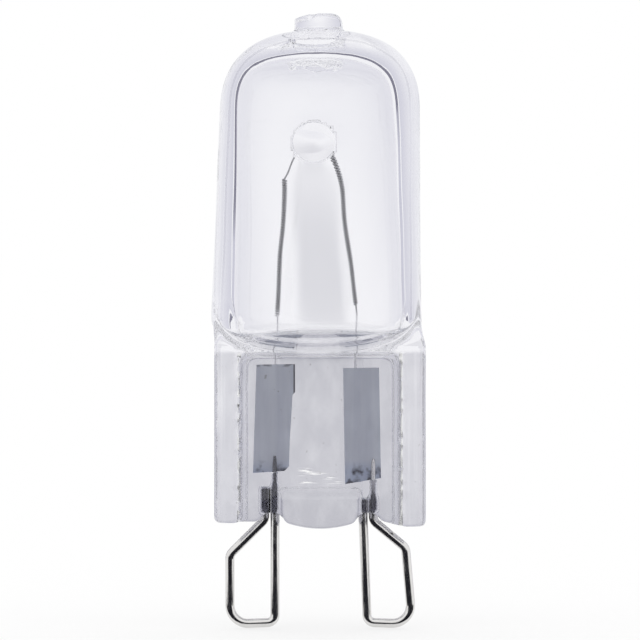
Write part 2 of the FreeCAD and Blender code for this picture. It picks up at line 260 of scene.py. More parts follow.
# Noises: stretch along X, Y and Z, scale and detail
CHIP_GLINT_NOISE = ((1, 0, 0.5), 2400, 3)
STREAK_NOISE = ((0.1, 0, 1), 4200, 2)
SPECK_NOISE = ((1, 1, 1), 2600, 2)
FLANGE_NOISE = ((1, 1, 0.05), 1900, 3)
MARK_NOISE = ((1, 1, 0.5), 900, 4)
WAVE_NOISE = ((1, 1, 0.1), 500, 2)
DRAW_NOISE = ((1, 1, 0.05), 5, 3)
GLOSS_NOISE = ((0.6, 0.6, 1), 1.4, 3)
ROLL_NOISE = ((1, 1, 0.06), 2400, 3)
FOIL_NOISE = ((1, 1, 1), 1100, 3)

# Glass finish: stretches of X or Z in which a share rises from zero to one, and limits of noise
QUARTZ_IOR = 1.458
# Where the painted shade of the pinch and of its flanges sets in; the pinch's starts low, which leaves a
# painted highlight along the top of the recess.
PINCH_SHADED = (11.35, 11.15)
FLANGE_SHADED = (5.2, 5.4)
FLANGE_LIMITS = (0.5, 0.75)
CLOUD_LIMITS = (0.45, 0.75)
CLOUD_SHARE = 0.35
SPECK_LIMITS = (0.74, 0.78)
SPECK_SHARE = 0.8
# Chipped inner edges of the flanges, whose glint is painted as white mirror patches.
CHIP_GLINT_INNER = (5.2, 5.27)
CHIP_GLINT_OUTER = (5.5, 5.42)
CHIP_GLINT_LIMITS = (0.48, 0.53)
CHIP_GLINT_EXTRA = 0.12
STREAK_FOOT = (2.4, 2.6)
STREAK_HEAD = (3.7, 3.5)
STREAK_ENDS = (1.6, 1.1)
STREAK_LIMITS = (0.55, 0.61)
HAZE_LIMITS = (0.4, 0.7)
HAZE_ROUGHNESS = (0.02, 0.14)
FROST_ROUGHNESS = 0.5
WAVE_DEPTH = 0.012

# Metal finish, in the same way
GLOSS_LIMITS = (0.3, 0.7)
WIRE_ROUGHNESS = (0.08, 0.2)
TUNGSTEN_ROUGHNESS = (0.3, 0.45)
DRAW_DEPTH = 0.006
SEAL_FOOT = (0.3, 0.9)
LEFT_SEAL_TOP = 8.0
RIGHT_SEAL_TOP = 2.4
SEAL_FADE = (0.0, 0.7)
TAIL_SEALED = (14.2, 13.6)
FOIL_METALLIC = 0.1
FOIL_ROUGHNESS = (0.35, 0.6)
ROLL_LIMITS = (0.3, 0.7)
ROLL_DEPTH = 0.02
FOOT_WELDS = (4.1, 3.3)
FOOT_LIMITS = (0.5, 0.6)
HEAD_WELDS = (10.22, 10.38)
HEAD_LIMITS = (0.4, 0.5)
TORN_FROM = (-1.8, -1.74)
TORN_TO = (0.0, -1.0)


def soft_min(a, b, blend):
    share = np.clip(0.5 + 0.5 * (b - a) / blend, 0, 1)
    return b * (1 - share) + a * share - blend * share * (1 - share)


def soft_max(a, b, blend):
    return -soft_min(-a, -b, blend)


def smooth_step(low, high, value):
    share = np.clip((value - low) / (high - low), 0, 1)
    return share * share * (3 - 2 * share)


def power_sum(a, b, power):
    return (np.abs(a) ** power + np.abs(b) ** power) ** (1 / power)


def barrel_field(x, y, z, axis, size, top, foot):
    """Leaning, tapered barrel with two rounded ends, below zero inside."""
    shift, lean = axis
    radius, taper = size
    top_start, top_height, top_power = top
    foot_start, foot_height, foot_power = foot
    away = np.hypot(x - shift - lean * (z - LOWER_TUBE), y)
    wide = radius - taper * (z - LOWER_TUBE)
    up = np.maximum(z - top_start, 0) / top_height
    down = np.maximum(foot_start - z, 0) / foot_height
    upper = power_sum(away / wide, up, top_power)
    lower = power_sum(away / wide, down, foot_power)
    return wide * (np.maximum(upper, lower) - 1)


def tube_field(x, y, z):
    """Outside of the tube with its dome and round bowl."""
    axis = (TUBE_SHIFT, TUBE_LEAN)
    return barrel_field(x, y, z, axis, (TUBE_RADIUS, TUBE_TAPER), TUBE_DOME, TUBE_BOWL)


def foot_line(x):
    """Height of the pinch's lower edge: rounded feet, notches at the wires, the tongue between them."""
    flange = np.where(x < 0, LEFT_FOOT, RIGHT_FOOT)
    notch = NOTCH_HEIGHT * np.exp(-((np.abs(x) - NOTCH_X) / NOTCH_HALF) ** 4)
    tongue = -TONGUE_DROP * np.clip(1 - (x / TONGUE_HALF) ** 2, 0, 1)
    share = smooth_step(*FOOT_REACH, np.abs(x))
    return flange * share + notch + tongue


def recess_field(x, y, z):
    """Pocket in front and back between the flanges, below zero inside it."""
    draft = RECESS_DRAFT * (np.abs(y) - WEB_DEPTH)
    sides = soft_max(np.abs(x) - WEB_HALF - draft, z - RECESS_TOP - draft, RECESS_CORNER)
    return soft_max(sides, WEB_DEPTH - np.abs(y), RECESS_FILLET)


def tongue_field(x, y, z):
    """Pad between the wires that slopes into the web at its top."""
    slope = smooth_step(TONGUE_TOP, TONGUE_TOP + TONGUE_SLOPE, z)
    thick = TONGUE_DEPTH + (WEB_DEPTH - TONGUE_DEPTH) * slope
    return soft_max(np.abs(x) - TONGUE_HALF, np.abs(y) - thick, TONGUE_CORNER)


def pinch_field(x, y, z):
    """H-section slab whose shoulders run out into the tube, with the tongue's pad at its foot."""
    rise = np.maximum(z - SHOULDER_START, 0)
    half = PINCH_HALF - rise * np.where(x < 0, LEFT_SHOULDER_LEAN, RIGHT_SHOULDER_LEAN)
    depth = PINCH_DEPTH - SHOULDER_DEPTH_LEAN * rise
    bar = soft_max(np.abs(x) - half, np.abs(y) - depth, PINCH_CORNER)
    pinch = soft_max(bar, -recess_field(x, y, z), RECESS_EDGE)
    pinch = soft_min(pinch, tongue_field(x, y, z), TONGUE_FILLET)
    pinch = soft_max(pinch, foot_line(x) - z, FOOT_CORNER)
    return soft_max(pinch, z - SLAB_TOP, SLAB_EDGE)


def past_cut(x, z, cut):
    """How far a place lies past a slanting cut."""
    cut_x, cut_z, toward_x, toward_z = cut
    return toward_x * (x - cut_x) + toward_z * (z - cut_z)


def stub_field(x, y, z):
    """Melted end of the exhaust tube, nipped lower on the left, with a shallow groove beside that."""
    side = np.hypot(x - STUB_X, y) - STUB_RADIUS
    rightward = smooth_step(-STUB_RADIUS, STUB_RADIUS, x - STUB_X)
    corner = LEFT_STUB_CORNER + (RIGHT_STUB_CORNER - LEFT_STUB_CORNER) * rightward
    stub = soft_max(side, z - STUB_TOP, corner)
    stub = soft_max(stub, past_cut(x, z, NIP_CUT), NIP_EDGE)
    groove = GROOVE_DEPTH * np.exp(-(past_cut(x, z, GROOVE_CUT) / GROOVE_HALF) ** 2)
    stub = stub + groove * smooth_step(*GROOVE_HEIGHTS, z)
    return np.maximum(stub, STUB_ROOT - z)


def post_field(x, z):
    """Round bar along Y from wall to wall."""
    return np.hypot(x - POST_X, z - POST_Z) - POST_RADIUS


def dents(x, y, z):
    """Depth of the shallow round hollow in the tube outside each end of the post."""
    away = np.hypot(x - POST_X, z - POST_Z) / DENT_RADIUS
    near_wall = smooth_step(TUBE_RADIUS - DENT_WALL, TUBE_RADIUS - DENT_WALL / 2, np.abs(y))
    return DENT_DEPTH * np.exp(-away ** 2) * near_wall


def cavity_field(x, y, z):
    """Gas space round the post, with the bore and the rim of the exhaust tube in its ceiling."""
    axis = (CAVITY_SHIFT, CAVITY_LEAN)
    space = barrel_field(x, y, z, axis, (CAVITY_RADIUS, CAVITY_TAPER), CAVITY_CEILING, CAVITY_FLOOR)
    space = soft_max(space, -post_field(x, z), POST_FILLET)
    around = np.arctan2(y, x - BORE_X)
    level = RIM_LEVEL
    for count, height, phase in RIM_WAVES:
        level = level + height * np.sin(count * around + phase)
    bore = np.hypot(x - BORE_X, y)
    rim = soft_max(bore - RIM_RADIUS, level - z, RIM_EDGE)
    space = soft_max(space, -rim, RIM_FILLET)
    taper = BORE_CLOSING * np.maximum(z - BORE_TOP, 0)
    hole = np.maximum(bore - BORE_RADIUS + taper, level - BORE_OVERLAP - z)
    return soft_min(space, hole, BORE_EDGE)


def capillary_field(x, y, z):
    """Thin gap that the cooled glass leaves round each wire, narrower round the thin leads."""
    gaps = []
    for middle, thick_top, top in SEALED_WIRES:
        thin = (WIRE_RADIUS - LEAD_RADIUS) * np.clip((z - thick_top) / LEAD_TAPER, 0, 1)
        gap = np.hypot(x - middle, y) - WIRE_RADIUS + thin - CAPILLARY_GAP
        gaps.append(np.maximum(gap, z - top - CAPILLARY_GAP))
    return np.minimum.reduce(gaps)


def wave_along(x, y, z, wave):
    rate_x, rate_y, rate_z, phase = wave
    return np.sin(rate_x * x + rate_y * y + rate_z * z + phase)


def ripple(x, y, z):
    """Slow unevenness of drawn and pressed glass."""
    total = 0
    for first, second, share in RIPPLES:
        total = total + share * wave_along(x, y, z, first) * wave_along(x, y, z, second)
    return total


def swaying_wave(z, wave):
    """Sine wave along Z whose rate sways."""
    rate, sway, sway_rate, sway_phase = wave
    return np.sin(rate * z + sway * np.sin(sway_rate * z + sway_phase))


def chips(x, y, z):
    """Small bites along the inner edges of the flanges: dashed on the left, ragged on the right."""
    edge = np.exp(-((np.abs(x) - CHIP_X) / CHIP_HALF) ** 2) * smooth_step(*CHIP_REACH, np.abs(y))
    dashes = smooth_step(*DASH_LIMITS, swaying_wave(z, DASH_WAVE))
    ragged = RAGGED_SHARE + (1 - RAGGED_SHARE) * swaying_wave(z, RAGGED_WAVE)
    return edge * np.where(x < 0, dashes, ragged) * (z < PINCH_TOP)


def quartz_field(x, y, z):
    """The whole envelope, below zero inside the glass."""
    deep = smooth_step(*FILLET_REACH, np.abs(y))
    low = 1 - smooth_step(*FILLET_HEIGHTS, z)
    fillet = SMALL_FILLET + (LARGE_FILLET - SMALL_FILLET) * deep * low
    glass = soft_min(tube_field(x, y, z), pinch_field(x, y, z), fillet)
    glass = soft_min(glass, stub_field(x, y, z), STUB_FILLET)
    glass = glass + RIPPLE_DEPTH * ripple(x, y, z) + CHIP_DEPTH * chips(x, y, z)
    glass = glass + dents(x, y, z)
    glass = soft_max(glass, -cavity_field(x, y, z), CAVITY_EDGE)
    return soft_max(glass, -capillary_field(x, y, z), CAPILLARY_EDGE)


def field_slope(places):
    """Slope of the envelope's field at some places."""
    slope = np.zeros_like(places)
    for axis in range(3):
        nudge = np.zeros(3)
        nudge[axis] = NORMAL_REACH
        slope[:, axis] = quartz_field(*(places + nudge).T) - quartz_field(*(places - nudge).T)
    return slope / (2 * NORMAL_REACH)


def cell_corners(samples):
    """The samples at the eight corners of every cell."""
    nx, ny, nz = (size - 1 for size in samples.shape)
    return [samples[dx:nx + dx, dy:ny + dy, dz:nz + dz]
            for dx, dy, dz in itertools.product((0, 1), repeat=3)]


def net_quads(inside, index):
    """One quad round each grid edge that crosses the surface, facing out of the glass."""
    quads = []
    for axis in range(3):
        order = (axis, (axis + 1) % 3, (axis + 2) % 3)
        turned = np.moveaxis(inside, order, (0, 1, 2))
        cells = np.moveaxis(index, order, (0, 1, 2))
        here = turned[:-1, 1:-1, 1:-1]
        beyond = turned[1:, 1:-1, 1:-1]
        ring = [cells[:, :-1, :-1], cells[:, 1:, :-1], cells[:, 1:, 1:], cells[:, :-1, 1:]]
        outward = here & ~beyond
        inward = ~here & beyond
        quads.append(np.stack([corner[outward] for corner in ring], axis=1))
        quads.append(np.stack([corner[inward] for corner in ring[::-1]], axis=1))
    return np.concatenate(quads)


def drawn_onto_surface(places):
    """The places moved down or up the slope until they lie on the envelope's surface."""
    for _ in range(DRAW_ROUNDS):
        slope = field_slope(places)
        step = quartz_field(*places.T) / np.maximum((slope ** 2).sum(axis=1), LEAST_SLOPE)
        places = places - np.clip(step[:, None] * slope, -CELL / 2, CELL / 2)
    return places


def quartz_surface():
    """Vertices, quads and normals of the envelope: a net over a grid, drawn onto the exact form."""
    axes = [np.arange(low, high + CELL, CELL) for low, high in zip(GRID_LOW, GRID_HIGH)]
    inside = quartz_field(*np.meshgrid(*axes, indexing="ij")) < 0
    corners = cell_corners(inside)
    crossed = np.any(corners, axis=0) & ~np.all(corners, axis=0)
    index = np.full(crossed.shape, -1)
    index[crossed] = np.arange(crossed.sum())
    places = drawn_onto_surface(np.array(GRID_LOW) + (np.argwhere(crossed) + 0.5) * CELL)
    slope = field_slope(places)
    normals = slope / np.linalg.norm(slope, axis=1)[:, None]
    return places, net_quads(inside, index), normals


def mesh_object(name, places, faces, smooth):
    """New object from places in millimetres."""
    mesh = bpy.data.meshes.new(name)
    mesh.from_pydata((np.asarray(places) * MM).tolist(), [], faces)
    if smooth:
        mesh.shade_smooth()
    made = bpy.data.objects.new(name, mesh)
    bpy.context.scene.collection.objects.link(made)
    return made


def quartz_object():
    """The envelope, whose vertices also tell its outside skin from the walls of the gas space."""
    places, quads, normals = quartz_surface()
    glass = mesh_object("quartz_body", places, quads.tolist(), True)
    glass.data.normals_split_custom_set_from_vertices(normals.tolist())
    skin = glass.data.attributes.new("skin", "FLOAT", "POINT")
    skin.data.foreach_set("value", (cavity_field(*places.T) > SKIN_DEPTH).astype(float))
    return glass


def unit(vector):
    return vector / np.linalg.norm(vector)


def bent_path(points, radii):
    """Runs through the points, with a stepped arc of the given radius at each corner."""
    points = np.array(points, float)
    path = [points[0]]
    for before, corner, after, radius in zip(points, points[1:], points[2:], radii):
        back = unit(before - corner)
        ahead = unit(after - corner)
        half = math.acos(np.clip(back @ ahead, -1, 1)) / 2
        inward = unit(back + ahead)
        across = unit(ahead - back)
        center = corner + inward * radius / math.sin(half)
        sweep = math.pi / 2 - half
        for step in range(BEND_STEPS + 1):
            angle = sweep * (2 * step / BEND_STEPS - 1)
            path.append(center + radius * (across * math.sin(angle) - inward * math.cos(angle)))
    return np.array(path + [points[-1]])


def lengths_along(run):
    """Distance of each point of a run from its start."""
    return np.concatenate([[0], np.cumsum(np.linalg.norm(np.diff(run, axis=0), axis=1))])


def headings(run):
    """Unit direction of a run at each of its points."""
    heads = np.gradient(run, axis=0)
    return heads / np.linalg.norm(heads, axis=1)[:, None]


def smooth_run(points, steps):
    """Smooth curve through a few points."""
    points = np.array(points, float)
    padded = np.vstack([2 * points[0] - points[1], points, 2 * points[-1] - points[-2]])
    run = []
    for a, b, c, d in zip(padded, padded[1:], padded[2:], padded[3:]):
        for t in np.arange(steps) / steps:
            run.append(0.5 * (2 * b + (c - a) * t + (2 * a - 5 * b + 4 * c - d) * t ** 2
                              + (3 * b - a - 3 * c + d) * t ** 3))
    return np.array(run + [points[-1]])


def even_run(run, spacing):
    """The same run with even spacing along it."""
    lengths = lengths_along(run)
    count = max(int(lengths[-1] / spacing), 2)
    marks = np.linspace(0, lengths[-1], count + 1)
    return np.stack([np.interp(marks, lengths, run[:, axis]) for axis in range(3)], axis=1)


def swept_rings(path, radii, sides):
    """Rings of vertices round a path, and the place of each vertex round and along it."""
    heads = headings(path)
    side = np.cross(heads[0], FIRST_SIDE)
    turns = np.arange(sides) * 2 * math.pi / sides
    rings = []
    lays = []
    for place, head, radius, length in zip(path, heads, radii, lengths_along(path)):
        side = unit(side - head * (side @ head))
        up = np.cross(head, side)
        rings.append(place + radius * (np.outer(np.cos(turns), side) + np.outer(np.sin(turns), up)))
        lays.append(np.stack([np.cos(turns), np.sin(turns), np.full(sides, length)], axis=1))
    return np.concatenate(rings), np.concatenate(lays)


def ring_faces(count, sides):
    """Faces between rings, with a face over each end."""
    faces = []
    for ring in range(count - 1):
        base = ring * sides
        for step in range(sides):
            after = (step + 1) % sides
            faces.append((base + step, base + after, base + sides + after, base + sides + step))
    faces.append(tuple(range(sides - 1, -1, -1)))
    faces.append(tuple(range((count - 1) * sides, count * sides)))
    return faces


def wire_object(name, path, radii, sides):
    """Round wire whose vertices also carry their place round and along it, for the draw lines."""
    places, lays = swept_rings(path, radii, sides)
    made = mesh_object(name, places, ring_faces(len(path), sides), True)
    lay = made.data.attributes.new("lay", "FLOAT_VECTOR", "POINT")
    lay.data.foreach_set("vector", lays.ravel())
    return made


def loop_object(name, lead, stump_top, points, radii):
    """Bent wire that thins to its lead above the top of the stump beside it."""
    lead_x, lead_top = lead
    heights = (lead_top, lead_top - LEAD_TIP, stump_top + LEAD_TAPER)
    thin = [(lead_x, 0.0, height) for height in heights]
    thick = even_run(bent_path([(x, 0.0, z) for x, z in points], radii), WIRE_STEP)
    path = np.concatenate([thin, thick])
    widths = np.full(len(path), WIRE_RADIUS)
    widths[:len(thin)] = LEAD_RADIUS / 2, LEAD_RADIUS, LEAD_RADIUS
    return wire_object(name, path, widths, WIRE_SIDES)


def left_loop():
    points = [(LEFT_LEAD_X, LEFT_STUMP_TOP), (LEFT_LEAD_X, -6.76), (-6.0, -6.88), (-6.0, -2.25),
              (LEFT_STUMP_X, 0.07), (LEFT_STUMP_X, LEFT_STUMP_TOP)]
    bends = (0.5, 1.2, 0.6, 0.6)
    lead = (LEFT_LEAD_X, LEFT_LEAD_TOP)
    return loop_object("wire_loop_left", lead, LEFT_STUMP_TOP, points, bends)


def right_loop():
    points = [(RIGHT_LEAD_X, RIGHT_STUMP_TOP), (RIGHT_LEAD_X, 0.0), (5.69, -1.8), (6.14, -6.88),
              (3.14, -6.76), (RIGHT_STUMP_X, 0.5), (RIGHT_STUMP_X, RIGHT_STUMP_TOP)]
    bends = (0.6, 0.6, 1.2, 0.5, 0.6)
    lead = (RIGHT_LEAD_X, RIGHT_LEAD_TOP)
    return loop_object("wire_loop_right", lead, RIGHT_STUMP_TOP, points, bends)


def coiled(points):
    """Helix wound round a smooth run in the front view, tight to its ends."""
    run = smooth_run([(x, 0.0, z) for x, z in points], COIL_RUN_STEPS)
    line = even_run(run, COIL_PITCH / TURN_STEPS)
    depth = np.array((0.0, 1.0, 0.0))
    side = np.cross(depth, headings(line))
    steps = np.arange(len(line))
    turn = 2 * math.pi * steps / TURN_STEPS
    turns_to_end = np.minimum(steps, steps[::-1]) / TURN_STEPS
    radius = COIL_RADIUS * smooth_step(*COIL_ENDS, turns_to_end)
    return line + radius[:, None] * (np.cos(turn)[:, None] * side + np.sin(turn)[:, None] * depth)


def bridge():
    """Half turn over the post."""
    turn = np.linspace(math.pi, 0, BRIDGE_STEPS)
    over = POST_RADIUS + STRAND_RADIUS + BRIDGE_CLEARANCE
    return np.stack([POST_X + over * np.cos(turn), 0 * turn, POST_Z + over * np.sin(turn)], axis=1)


def filament_path():
    """Left tail, left coil, bare bridge over the post, right coil, right tail."""
    left = coiled([(-3.0, 13.55), (-2.7, 17.5), (-2.45, 19.53), (-2.35, 21.58), (-2.36, 22.76)])
    right = coiled([(1.13, 24.45), (1.2, 23.6), (1.48, 22.1), (1.62, 20.05), (1.93, 17.5), (2.33, 14.4)])
    top = bridge()
    left_tail = smooth_run([(-2.97, TAIL_DEPTH, 9.43), (-2.97, TAIL_DEPTH, 11.0),
                            (-2.97, TAIL_DEPTH, 12.6), (-2.98, 0.25, 13.2), left[0]], RUN_STEPS)
    lead_in = smooth_run([left[-1], (-2.1, 0.0, 23.3), (-1.85, 0.0, 24.4), top[0]], RUN_STEPS)
    lead_out = smooth_run([top[-1], (1.09, 0.0, 24.8), right[0]], SHORT_RUN_STEPS)
    right_tail = smooth_run([right[-1], (2.4, 0.22, 13.7), (2.35, TAIL_DEPTH, 12.6),
                             (2.33, TAIL_DEPTH, 11.0), (2.33, TAIL_DEPTH, 9.2)], RUN_STEPS)
    return np.concatenate([left_tail[:-1], left, lead_in[1:-1], top, lead_out[1:-1], right,
                           right_tail[1:]])


def filament_object():
    path = filament_path()
    return wire_object("filament_strand", path, np.full(len(path), STRAND_RADIUS), STRAND_SIDES)


def sheet_object(name, outline):
    """Thin sheet with the given front outline, standing just behind the leads."""
    count = len(outline)
    front = [(x, FOIL_FRONT, z) for x, z in outline]
    back = [(x, FOIL_FRONT + FOIL_THICKNESS, z) for x, z in outline]
    faces = [tuple(range(count)), tuple(range(2 * count - 1, count - 1, -1))]
    for step in range(count):
        after = (step + 1) % count
        faces.append((step, count + step, count + after, after))
    return mesh_object(name, front + back, faces, False)


def left_foil():
    outline = [(-4.22, 10.4), (-1.67, 10.44), (-1.66, 8.58), (-1.83, 8.4), (-2.0, 5.4), (-2.06, 3.66),
               (-2.35, 3.33), (-4.46, 3.2)]
    return sheet_object("seal_foil_left", outline)


def right_foil():
    outline = [(1.53, 10.18), (3.93, 10.21), (4.06, 2.86), (1.66, 2.46)]
    return sheet_object("seal_foil_right", outline)


def new_material(name):
    material = bpy.data.materials.new(name)
    material.use_nodes = True
    tree = material.node_tree
    return material, tree, tree.nodes["Principled BSDF"]


def attribute(tree, name):
    node = tree.nodes.new("ShaderNodeAttribute")
    node.attribute_name = name
    return node


def object_place(tree):
    """Place on the object, and its X and Z."""
    place = tree.nodes.new("ShaderNodeTexCoord").outputs["Object"]
    split = tree.nodes.new("ShaderNodeSeparateXYZ")
    tree.links.new(place, split.inputs[0])
    return place, split.outputs["X"], split.outputs["Z"]


def textured(tree, source, stretch, scale, detail):
    """Noise over stretched coordinates."""
    mapping = tree.nodes.new("ShaderNodeMapping")
    mapping.inputs["Scale"].default_value = stretch
    tree.links.new(source, mapping.inputs["Vector"])
    noise = tree.nodes.new("ShaderNodeTexNoise")
    noise.inputs["Scale"].default_value = scale
    noise.inputs["Detail"].default_value = detail
    tree.links.new(mapping.outputs["Vector"], noise.inputs["Vector"])
    return noise.outputs[0]


def ranged(tree, source, before, after=(0, 1)):
    """Stretches a range of one value over another, held at both ends."""
    node = tree.nodes.new("ShaderNodeMapRange")
    for socket, value in zip(("From Min", "From Max", "To Min", "To Max"), before + after):
        node.inputs[socket].default_value = value
    tree.links.new(source, node.inputs["Value"])
    return node.outputs["Result"]


def rising(tree, length, stretch):
    """Share that rises from zero to one over a stretch in millimetres, up or down."""
    start, end = stretch
    return ranged(tree, length, (start * MM, end * MM))


def calculated(tree, operation, *values):
    node = tree.nodes.new("ShaderNodeMath")
    node.operation = operation
    for socket, value in zip(node.inputs, values):
        tree.links.new(value, socket)
    return node.outputs[0]


def product(tree, *values):
    return functools.reduce(lambda first, second: calculated(tree, "MULTIPLY", first, second), values)


def largest(tree, *values):
    return functools.reduce(lambda first, second: calculated(tree, "MAXIMUM", first, second), values)


def mixed(tree, share, first, second):
    """Colour between two, each a plain colour or the output of another node."""
    node = tree.nodes.new("ShaderNodeMix")
    node.data_type = "RGBA"
    tree.links.new(share, node.inputs[0])
    for socket, color in ((node.inputs[6], first), (node.inputs[7], second)):
        if isinstance(color, tuple):
            socket.default_value = (*color, 1.0)
        else:
            tree.links.new(color, socket)
    return node.outputs[2]


def bumped(tree, height, distance):
    node = tree.nodes.new("ShaderNodeBump")
    node.inputs["Distance"].default_value = distance * MM
    tree.links.new(height, node.inputs["Height"])
    return node.outputs["Normal"]


def edge_chips_and_glints(tree, place, across, aside, pinched):
    """One on the chipped inner edges of the flanges, more of them on the right, whose glint is painted as
    white mirror patches.
    """
    near = rising(tree, aside, CHIP_GLINT_INNER)
    far = rising(tree, aside, CHIP_GLINT_OUTER)
    more = ranged(tree, across, (-MM, MM), (0, CHIP_GLINT_EXTRA))
    noise = calculated(tree, "ADD", textured(tree, place, *CHIP_GLINT_NOISE), more)
    return product(tree, near, far, pinched, ranged(tree, noise, CHIP_GLINT_LIMITS))


def press_streaks(tree, place, aside, height):
    """One on the few white streaks that lie across the web just above the tongue."""
    above = rising(tree, height, STREAK_FOOT)
    below = rising(tree, height, STREAK_HEAD)
    middle = rising(tree, aside, STREAK_ENDS)
    lines = ranged(tree, textured(tree, place, *STREAK_NOISE), STREAK_LIMITS)
    return product(tree, above, below, middle, lines)


def quartz_shade_and_specks(tree, place, flanged, pinched, marks):
    """Painted shade: grey of the pinch, and a lighter lavender grey in the tube, standing in for the shade
    of a darker studio, with the pinch's clouds, streaks and specks.
    """
    streaks = ranged(tree, textured(tree, place, *FLANGE_NOISE), FLANGE_LIMITS)
    clouds = ranged(tree, marks, CLOUD_LIMITS, (0, CLOUD_SHARE))
    specks = ranged(tree, textured(tree, place, *SPECK_NOISE), SPECK_LIMITS, (0, SPECK_SHARE))
    flange = mixed(tree, streaks, FLANGE_SHADE, FLANGE_STREAK_SHADE)
    pressed = mixed(tree, flanged, WEB_SHADE, flange)
    clouded = mixed(tree, clouds, pressed, TUBE_SHADE)
    specked = mixed(tree, specks, clouded, SPECK_TINT)
    return mixed(tree, pinched, TUBE_SHADE, specked)


def quartz_material():
    """Clear glass with drawing waves and a painted shade, greyer in the pinch, with press marks, haze, and
    chipped edges whose glint is painted as white mirror patches.
    """
    material, tree, shader = new_material("fused_quartz")
    shader.inputs["IOR"].default_value = QUARTZ_IOR
    shader.inputs["Transmission Weight"].default_value = 1.0
    place, across, height = object_place(tree)
    aside = calculated(tree, "ABSOLUTE", across)
    pinched = rising(tree, height, PINCH_SHADED)
    flanged = rising(tree, aside, FLANGE_SHADED)
    marks = textured(tree, place, *MARK_NOISE)
    waves = textured(tree, place, *WAVE_NOISE)
    # Painted shade on the outside skin, white on the walls of the gas space.
    outside = quartz_shade_and_specks(tree, place, flanged, pinched, marks)
    painted_shade = mixed(tree, attribute(tree, "skin").outputs["Fac"], WHITE, outside)
    edges = edge_chips_and_glints(tree, place, across, aside, pinched)
    white_marks_and_glints = largest(tree, edges, press_streaks(tree, place, aside, height))
    haze = product(tree, pinched, ranged(tree, marks, HAZE_LIMITS, HAZE_ROUGHNESS))
    frost = ranged(tree, edges, (0, 1), (0, FROST_ROUGHNESS))
    # Painted highlight: the chipped edges, and the white streaks on the web, are made white mirrors.
    tree.links.new(mixed(tree, white_marks_and_glints, painted_shade, WHITE), shader.inputs["Base Color"])
    tree.links.new(white_marks_and_glints, shader.inputs["Metallic"])
    tree.links.new(largest(tree, haze, frost), shader.inputs["Roughness"])
    tree.links.new(bumped(tree, waves, WAVE_DEPTH), shader.inputs["Normal"])
    return material


def wire_sealed(tree, across, height):
    """One on the stretch of the wires that is sealed into the glass, shorter on the right."""
    top = ranged(tree, across, (-MM, MM), (LEFT_SEAL_TOP * MM, RIGHT_SEAL_TOP * MM))
    below_top = calculated(tree, "SUBTRACT", top, height)
    return product(tree, rising(tree, height, SEAL_FOOT), rising(tree, below_top, SEAL_FADE))


def tail_sealed(tree, _, height):
    """One on the straight tails of the filament."""
    return rising(tree, height, TAIL_SEALED)


def drawn_metal(name, dark, light, roughness, sealed, sealed_color):
    """Drawn wire with fine lines along it and uneven gloss, of another colour where it is sealed."""
    material, tree, shader = new_material(name)
    shader.inputs["Metallic"].default_value = 1.0
    lay = attribute(tree, "lay").outputs["Vector"]
    lines = textured(tree, lay, *DRAW_NOISE)
    patches = textured(tree, lay, *GLOSS_NOISE)
    drawn = mixed(tree, patches, dark, light)
    _, across, height = object_place(tree)
    color = mixed(tree, sealed(tree, across, height), drawn, sealed_color)
    tree.links.new(color, shader.inputs["Base Color"])
    tree.links.new(ranged(tree, patches, GLOSS_LIMITS, roughness), shader.inputs["Roughness"])
    tree.links.new(bumped(tree, lines, DRAW_DEPTH), shader.inputs["Normal"])
    return material


def foil_scorch(tree, across, height, foot, patches):
    """One where the foils are burnt: in spots round the welds, and along the left one's torn edge."""
    foot_spots = product(tree, foot, ranged(tree, patches, FOOT_LIMITS))
    head_spots = product(tree, rising(tree, height, HEAD_WELDS), ranged(tree, patches, HEAD_LIMITS))
    torn = product(tree, rising(tree, across, TORN_FROM), rising(tree, across, TORN_TO))
    return largest(tree, foot_spots, head_spots, torn)


def foil_material():
    """Satin rolled foil with streaks along it, burnt dark and blue round its welds."""
    material, tree, shader = new_material("rolled_foil")
    shader.inputs["Metallic"].default_value = FOIL_METALLIC
    place, across, height = object_place(tree)
    streaks = textured(tree, place, *ROLL_NOISE)
    patches = textured(tree, place, *FOIL_NOISE)
    foot = rising(tree, height, FOOT_WELDS)
    rolled = mixed(tree, ranged(tree, streaks, ROLL_LIMITS), FOIL_DARK, FOIL_LIGHT)
    tinted = mixed(tree, product(tree, foot, patches), rolled, FOIL_BLUE)
    color = mixed(tree, foil_scorch(tree, across, height, foot, patches), tinted, FOIL_BURNT)
    tree.links.new(color, shader.inputs["Base Color"])
    tree.links.new(ranged(tree, patches, GLOSS_LIMITS, FOIL_ROUGHNESS), shader.inputs["Roughness"])
    tree.links.new(bumped(tree, streaks, ROLL_DEPTH), shader.inputs["Normal"])
    return material


def build_world():
    """Even white light from all round."""
    world = bpy.data.worlds.new("studio")
    bpy.context.scene.world = world
    world.use_nodes = True
    background = world.node_tree.nodes["Background"]
    background.inputs["Color"].default_value = (*WHITE, 1.0)


def seen_directly(tree):
    """One for rays from the camera, a mirror or glass, and zero for the rest."""
    path = tree.nodes.new("ShaderNodeLightPath")
    kinds = ("Is Camera Ray", "Is Glossy Ray", "Is Transmission Ray")
    return largest(tree, *(path.outputs[kind] for kind in kinds))


def floor_material():
    """White floor: part of its white is its own, and the rest is lit, so that it keeps a soft shadow."""
    material, tree, shader = new_material("floor_white")
    shader.inputs["Base Color"].default_value = (STUDIO_TONE, STUDIO_TONE, STUDIO_TONE, 1.0)
    shader.inputs["Roughness"].default_value = STUDIO_ROUGHNESS
    shader.inputs["Specular IOR Level"].default_value = 0.0
    shader.inputs["Emission Color"].default_value = (*WHITE, 1.0)
    glow = ranged(tree, seen_directly(tree), (0, 1), (0, STUDIO_GLOW))
    tree.links.new(glow, shader.inputs["Emission Strength"])
    return material


